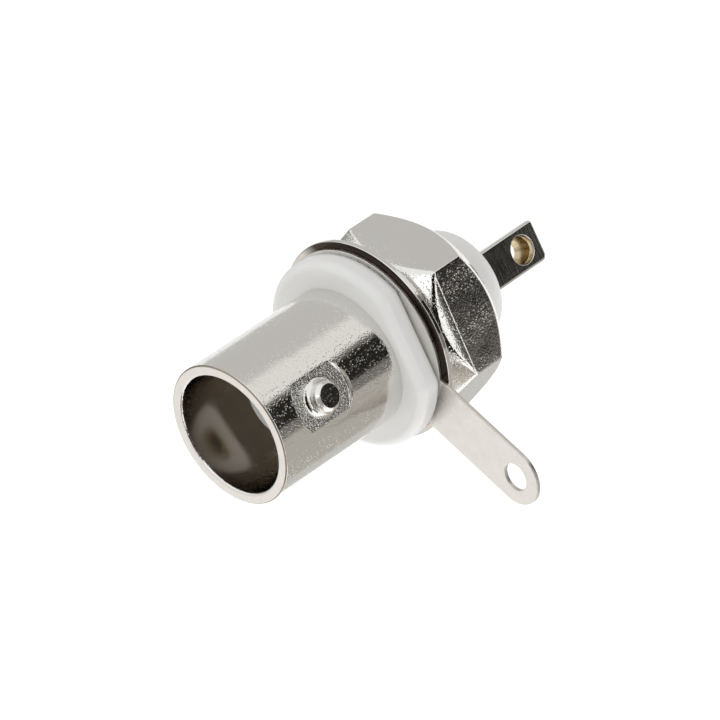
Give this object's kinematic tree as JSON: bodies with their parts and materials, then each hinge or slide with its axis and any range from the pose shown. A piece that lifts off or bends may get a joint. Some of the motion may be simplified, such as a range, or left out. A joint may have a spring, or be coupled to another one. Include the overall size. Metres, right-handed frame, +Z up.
{
  "type": "bnc socket",
  "caption": "Insulated panel-mount coaxial socket with bayonet lugs, white insulators, earth tag, washer, hexagon nut and a pierced solder tab.",
  "frame": {"origin": "on the socket's axis in the panel face, the rear face of the white flange", "axes": "+Y along the axis towards the solder tab, the mouth to -Y, the bayonet lugs on X, +Z up"},
  "size_m": [0.0179, 0.0289, 0.0191],
  "materials": {
    "bright_nickel": "bright nickel plating on turned brass, with fine grain",
    "satin_nickel": "satin nickel plating on stamped brass sheet, lightly scratched",
    "white_plastic": "smooth white moulded insulator with soft edges",
    "contact_plate": "nickel plating over brass, bare brass in the pierced hole"
  },
  "bodies": {
    "socket": {"shell": "bright_nickel", "insulating_flange": "white_plastic", "dielectric": "white_plastic", "rear_insulator": "white_plastic", "centre_contact": "contact_plate"},
    "washer": {"washer": "bright_nickel"},
    "earth_tag": {"earth_tag": "satin_nickel"},
    "nut": {"hex_nut": "bright_nickel"}
  },
  "joints": [
    {"name": "washer_travel", "type": "slide", "parent": "socket", "child": "washer", "axis": [0, 1, 0], "range_m": [0, 0.00556]},
    {"name": "nut_turn", "type": "hinge", "parent": "washer", "child": "nut", "pos_m": [0, 0.0033, 0], "axis": [0, 1, 0], "range_deg": [0, 2520]},
    {"name": "tag_swivel", "type": "hinge", "parent": "washer", "child": "earth_tag", "pos_m": [0, 0.00015, 0], "axis": [0, 1, 0], "continuous": true}
  ],
  "couplings": [
    {"joint": "washer_travel", "follows": "nut_turn", "m_per_rad": 0.00012633}
  ]
}
